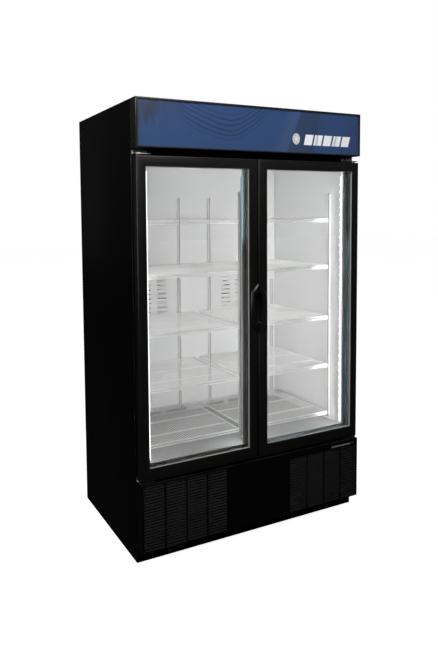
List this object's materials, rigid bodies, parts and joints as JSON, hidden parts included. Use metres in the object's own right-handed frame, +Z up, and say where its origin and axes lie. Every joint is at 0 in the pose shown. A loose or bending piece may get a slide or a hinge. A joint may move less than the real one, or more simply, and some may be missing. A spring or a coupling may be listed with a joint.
{
  "type": "two-door glass door merchandiser",
  "caption": "Tall free-standing refrigerated display cabinet with two hinged glass doors, wire shelves, a sign header and a louvred machine compartment below.",
  "frame": {"origin": "middle of the footprint, on the floor", "axes": "+Z up; the doors face -Y; +X to the right as seen from the front"},
  "size_m": [1.213, 0.748, 2.007],
  "materials": {
    "black_steel": "satin",
    "black_plastic": "satin",
    "liner_white": "satin",
    "shelf_white": "satin",
    "zinc_plate": "satin",
    "galvanised_steel": "satin",
    "fin_metal": "satin",
    "foam": "matte",
    "seal_grey": "matte",
    "sign_blue": "gloss",
    "lamp_white": "satin",
    "motor_black": "satin",
    "fan_grey": "matte",
    "door_glass": "polished"
  },
  "bodies": {
    "cabinet": {"outer_wrapper": "black_steel", "rear_panel": "black_steel", "face_frame": "black_steel", "foam_insulation": "foam", "liner_left_wall": "liner_white", "liner_right_wall": "liner_white", "liner_floor": "liner_white", "liner_ceiling": "liner_white", "rear_duct_panel": "liner_white", "centre_mullion": "liner_white", "centre_shelf_standard": "zinc_plate", "front_standard_left": "zinc_plate", "front_standard_right": "zinc_plate", "rear_standard_left_inner": "zinc_plate", "rear_standard_left_outer": "zinc_plate", "rear_standard_right_inner": "zinc_plate", "rear_standard_right_outer": "zinc_plate", "light_strip_left": "lamp_white", "light_strip_right": "lamp_white", "light_strip_centre": "lamp_white", "base_rail": "black_steel", "base_pan": "galvanised_steel", "rear_grille": "black_steel", "front_grille": "black_steel", "condenser_coil": "fin_metal", "condenser_fan_shroud": "black_steel", "compressor": "motor_black", "control_box": "black_plastic", "condensate_pan": "black_plastic", "evaporator_coil": "fin_metal", "header_box": "black_steel", "sign_panel": "sign_blue", "sign_lamp": "lamp_white", "top_hinge_left": "zinc_plate", "top_hinge_right": "zinc_plate", "bottom_hinge_left": "zinc_plate", "bottom_hinge_right": "zinc_plate", "shelf_left_1": "shelf_white", "shelf_left_2": "shelf_white", "shelf_left_3": "shelf_white", "shelf_left_4": "shelf_white", "shelf_left_5": "shelf_white", "shelf_right_1": "shelf_white", "shelf_right_2": "shelf_white", "shelf_right_3": "shelf_white", "shelf_right_4": "shelf_white", "shelf_right_5": "shelf_white"},
    "left_door": {"left_door_frame": "black_plastic", "left_door_outer_glass": "door_glass", "left_door_inner_glass": "door_glass", "left_door_gasket": "seal_grey", "left_door_handle": "black_plastic"},
    "right_door": {"right_door_frame": "black_plastic", "right_door_outer_glass": "door_glass", "right_door_inner_glass": "door_glass", "right_door_gasket": "seal_grey", "right_door_handle": "black_plastic"},
    "condenser_fan": {"condenser_fan_blade": "fan_grey"},
    "left_evaporator_fan": {"evaporator_fan_left": "fan_grey"},
    "right_evaporator_fan": {"evaporator_fan_right": "fan_grey"}
  },
  "joints": [
    {"name": "left_door_hinge", "type": "hinge", "parent": "cabinet", "child": "left_door", "pos_m": [-0.59, -0.346, 1.073], "axis": [0, 0, -1], "range_deg": [0, 110], "stiffness_Nm_per_rad": 1.2, "springref_deg": -45.84},
    {"name": "right_door_hinge", "type": "hinge", "parent": "cabinet", "child": "right_door", "pos_m": [0.59, -0.346, 1.073], "axis": [0, 0, 1], "range_deg": [0, 110], "stiffness_Nm_per_rad": 1.2, "springref_deg": -45.84},
    {"name": "condenser_fan_spin", "type": "hinge", "parent": "cabinet", "child": "condenser_fan", "pos_m": [-0.375, -0.221, 0.205], "axis": [0, 1, 0], "continuous": true},
    {"name": "left_evaporator_fan_spin", "type": "hinge", "parent": "cabinet", "child": "left_evaporator_fan", "pos_m": [-0.247, 0.273, 1.082], "axis": [0, 1, 0], "continuous": true},
    {"name": "right_evaporator_fan_spin", "type": "hinge", "parent": "cabinet", "child": "right_evaporator_fan", "pos_m": [0.247, 0.273, 1.082], "axis": [0, 1, 0], "continuous": true}
  ]
}
